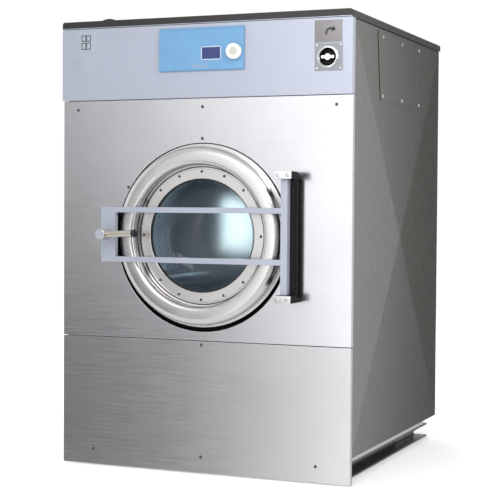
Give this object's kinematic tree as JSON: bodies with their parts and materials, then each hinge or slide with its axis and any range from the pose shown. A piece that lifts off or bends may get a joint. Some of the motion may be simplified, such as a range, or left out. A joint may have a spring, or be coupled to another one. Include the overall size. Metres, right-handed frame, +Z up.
{
  "type": "commercial washer-extractor",
  "caption": "Floor-standing front-loading cabinet machine with a round clamped glass door on a hinge column, a turning lever latch, a belt driven drum, a dial and a rear drain.",
  "frame": {"origin": "middle of the footprint, on the floor", "axes": "+Z up, -Y out of the door front, +X to the right seen from the front"},
  "size_m": [1.02, 1.208, 1.499],
  "materials": {
    "stainless": "brushed stainless steel",
    "polished_steel": "polished bright metal",
    "grey_paint": "satin lavender grey paint",
    "side_paint": "satin warm grey paint",
    "cover_paint": "satin mid grey paint",
    "black_paint": "semi-gloss black paint",
    "dark_steel": "dark structural paint",
    "zinc": "zinc plated",
    "black_rubber": "moulded rubber",
    "blue_plastic": "light blue moulded panel",
    "screen": "dark navy display window",
    "white_plastic": "white moulded knob",
    "grey_plastic": "moulded grey plastic",
    "cast_iron": "as cast, painted",
    "door_glass": "clear toughened glass bowl"
  },
  "bodies": {
    "cabinet": {"middle_front_panel": "stainless", "lower_front_panel": "stainless", "tub": "stainless", "lock_plate": "polished_steel", "lock_cup": "polished_steel", "hinge_strap_upper": "polished_steel", "hinge_strap_lower": "polished_steel", "bearing_front": "polished_steel", "bearing_rear": "polished_steel", "upper_front_panel": "grey_paint", "side_panel_right": "side_paint", "side_panel_left": "side_paint", "side_access_cover": "side_paint", "rear_panel": "side_paint", "rear_service_cover": "side_paint", "top_cover": "cover_paint", "hinge_block_upper": "black_paint", "hinge_block_lower": "black_paint", "latch_housing": "black_paint", "door_surround": "black_paint", "base_frame": "dark_steel", "motor_mount": "dark_steel", "side_sill_right": "zinc", "side_sill_left": "zinc", "electronics_box": "zinc", "heater": "zinc", "door_seal": "black_rubber", "hopper_hose": "black_rubber", "drive_belt": "black_rubber", "control_fascia": "blue_plastic", "display_window": "screen", "water_valve_cold": "grey_plastic", "water_valve_hot": "grey_plastic", "vent_pipe": "grey_plastic", "terminal_box": "grey_plastic", "hopper": "grey_plastic", "drain_valve": "grey_plastic", "bearing_housing": "cast_iron", "motor": "cast_iron"},
    "door": {"door_ring": "stainless", "door_clamp_ring": "stainless", "window_gasket": "black_rubber", "door_glass": "door_glass", "door_arm": "grey_paint", "hinge_column": "black_paint"},
    "lever": {"lever_hub": "dark_steel", "lever_bar": "zinc", "lever_plug": "black_rubber"},
    "drum": {"drum": "stainless", "drum_lifter_1": "stainless", "drum_lifter_2": "stainless", "drum_lifter_3": "stainless", "drum_spider": "cast_iron", "drum_pulley": "cast_iron"},
    "motor_rotor": {"motor_pulley": "cast_iron"},
    "selector_plunger": {"selector_stem": "zinc"},
    "selector": {"selector_knob": "white_plastic"},
    "turn_lock": {"lock_grip": "polished_steel"},
    "detergent_lid": {"hopper_lid": "cover_paint"},
    "drain_disc": {"drain_flap": "black_rubber"}
  },
  "joints": [
    {"name": "door_swing", "type": "hinge", "parent": "cabinet", "child": "door", "pos_m": [0.3213, -0.501, 0.774], "axis": [0, 0, 1], "range_deg": [0, 120]},
    {"name": "lever_turn", "type": "hinge", "parent": "door", "child": "lever", "pos_m": [-0.301, -0.583, 0.776], "axis": [0, -1, 0], "range_deg": [0, 90]},
    {"name": "drum_spin", "type": "hinge", "parent": "cabinet", "child": "drum", "pos_m": [0, -0.101, 0.774], "axis": [0, -1, 0], "continuous": true},
    {"name": "motor_spin", "type": "hinge", "parent": "cabinet", "child": "motor_rotor", "pos_m": [-0.235, 0.419, 0.215], "axis": [0, -1, 0], "continuous": true},
    {"name": "selector_push", "type": "slide", "parent": "cabinet", "child": "selector_plunger", "axis": [0, 1, 0], "range_m": [0, 0.002], "stiffness_N_per_m": 1500},
    {"name": "selector_turn", "type": "hinge", "parent": "selector_plunger", "child": "selector", "pos_m": [0.1215, -0.501, 1.3595], "axis": [0, -1, 0], "continuous": true},
    {"name": "lock_turn", "type": "hinge", "parent": "cabinet", "child": "turn_lock", "pos_m": [0.4305, -0.481, 1.3324], "axis": [0, -1, 0], "range_deg": [0, 90]},
    {"name": "detergent_lid_lift", "type": "hinge", "parent": "cabinet", "child": "detergent_lid", "pos_m": [-0.385, -0.231, 1.486], "axis": [-1, 0, 0], "range_deg": [0, 95]},
    {"name": "drain_turn", "type": "hinge", "parent": "cabinet", "child": "drain_disc", "pos_m": [0.06, 0.479, 0.165], "axis": [1, 0, 0], "range_deg": [0, 90]}
  ],
  "couplings": [
    {"joint": "motor_spin", "follows": "drum_spin", "ratio": 4.6591}
  ]
}
